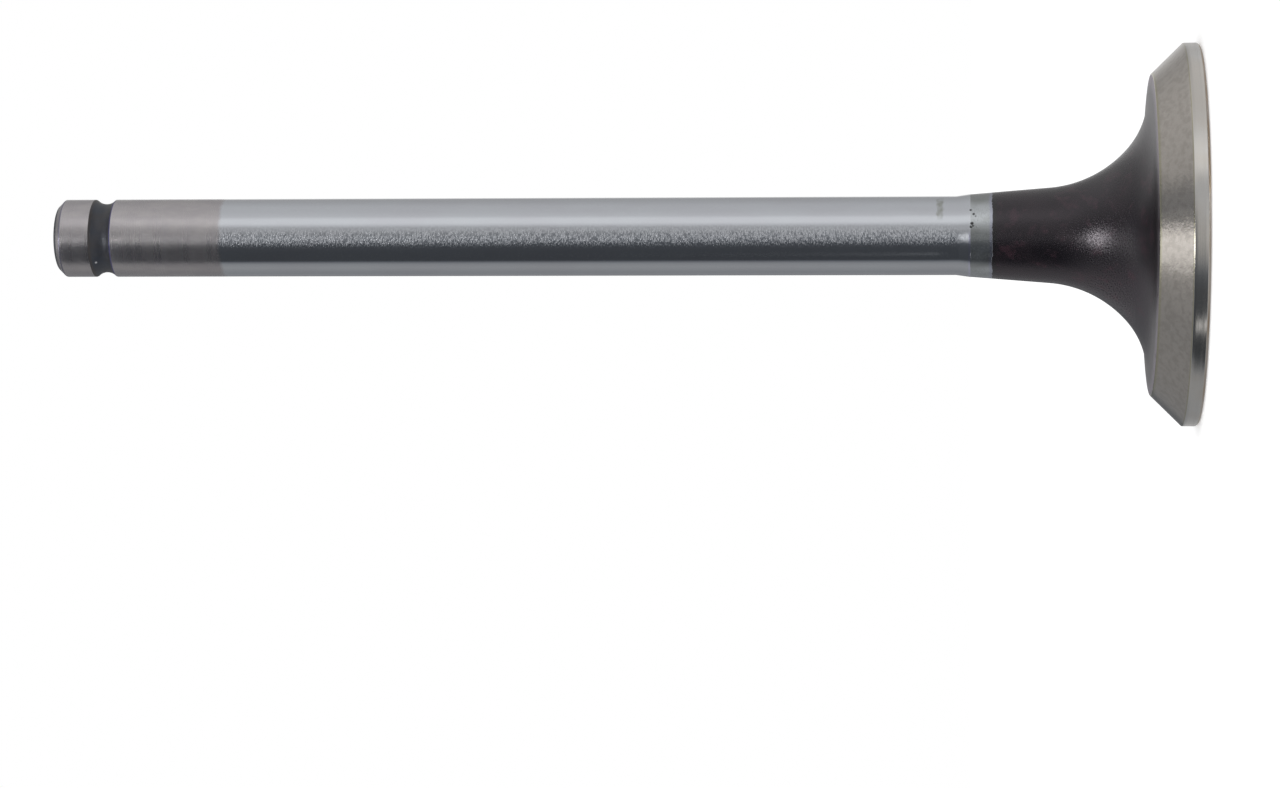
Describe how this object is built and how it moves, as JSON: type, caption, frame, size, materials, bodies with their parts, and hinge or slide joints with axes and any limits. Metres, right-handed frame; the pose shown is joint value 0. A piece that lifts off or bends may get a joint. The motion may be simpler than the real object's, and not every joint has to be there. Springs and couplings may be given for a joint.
{
  "type": "engine valve",
  "caption": "Poppet valve of an internal combustion engine: slim stem with a keeper groove near its tip, flaring through a tulip to a round head with a ground conical seat.",
  "frame": {"origin": "centre of the head's face, in the plane of its turned ring", "axes": "+Z along the stem, from the head's face to the tip; the part is round about Z, so X and Y are free"},
  "size_m": [0.0384, 0.0384, 0.1159],
  "materials": {
    "valve_steel": "forged and turned steel: ground tip and seat, hard chrome plated stem, blackened tulip, turned face ring round an as-forged dish"
  },
  "bodies": {
    "root": {"valve": "valve_steel"}
  },
  "joints": []
}
